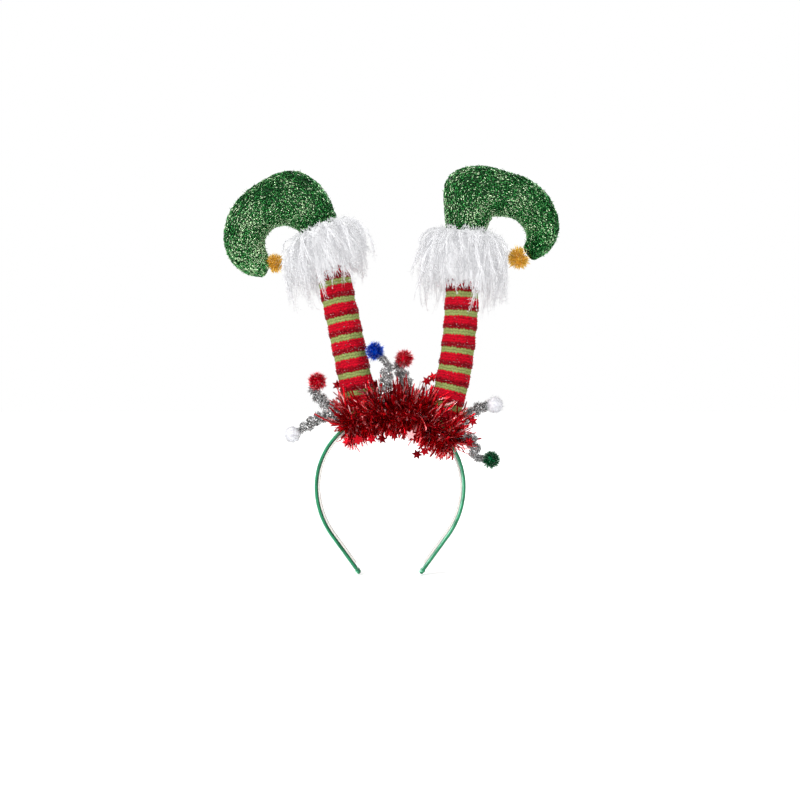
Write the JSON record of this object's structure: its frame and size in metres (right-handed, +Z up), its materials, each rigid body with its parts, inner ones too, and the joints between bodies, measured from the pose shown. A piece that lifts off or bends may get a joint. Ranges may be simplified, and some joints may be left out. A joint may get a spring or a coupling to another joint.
{
  "type": "elf headband",
  "caption": "Satin hair band with upturned stuffed elf legs in curled shoes and fur cuffs, a tinsel garland wound round the crown, and pompoms on coiled tinsel springs.",
  "frame": {"origin": "inside face of the lining at the top of the band's crown, where the band sits on a head", "axes": "+Z up the wearer's head, +X to the viewer's right in the picture, +Y away from the viewer"},
  "size_m": [0.287, 0.0817, 0.3508],
  "materials": {
    "band_satin": "green satin ribbon",
    "lining_tape": "pale woven tape",
    "stocking_knit": "knit in red and green stripes with red lurex rows",
    "green_lurex": "sparkling green lurex knit",
    "white_fur": "soft white eyelash fringe",
    "gold_tinsel": "metallised gold film",
    "silver_tinsel": "metallised silver film on wire",
    "red_tinsel": "metallised red film",
    "pompom_red": "glittering red tinsel yarn",
    "pompom_white": "soft white acrylic",
    "pompom_blue": "glittering blue tinsel yarn",
    "pompom_green": "glittering green tinsel yarn"
  },
  "bodies": {
    "root": {"band": "band_satin", "band_lining": "lining_tape", "leg_left": "stocking_knit", "shoe_left": "green_lurex", "fur_cuff_left": "white_fur", "toe_pompom_left": "gold_tinsel", "leg_right": "stocking_knit", "shoe_right": "green_lurex", "fur_cuff_right": "white_fur", "toe_pompom_right": "gold_tinsel", "spring_left_upper": "silver_tinsel", "pompom_left_upper": "pompom_red", "spring_left_lower": "silver_tinsel", "pompom_left_lower": "pompom_white", "spring_centre_blue": "silver_tinsel", "pompom_centre_blue": "pompom_blue", "spring_centre_red": "silver_tinsel", "pompom_centre_red": "pompom_red", "spring_right_upper": "silver_tinsel", "pompom_right_upper": "pompom_white", "spring_right_lower": "silver_tinsel", "pompom_right_lower": "pompom_green", "tinsel_garland": "red_tinsel"}
  },
  "joints": []
}
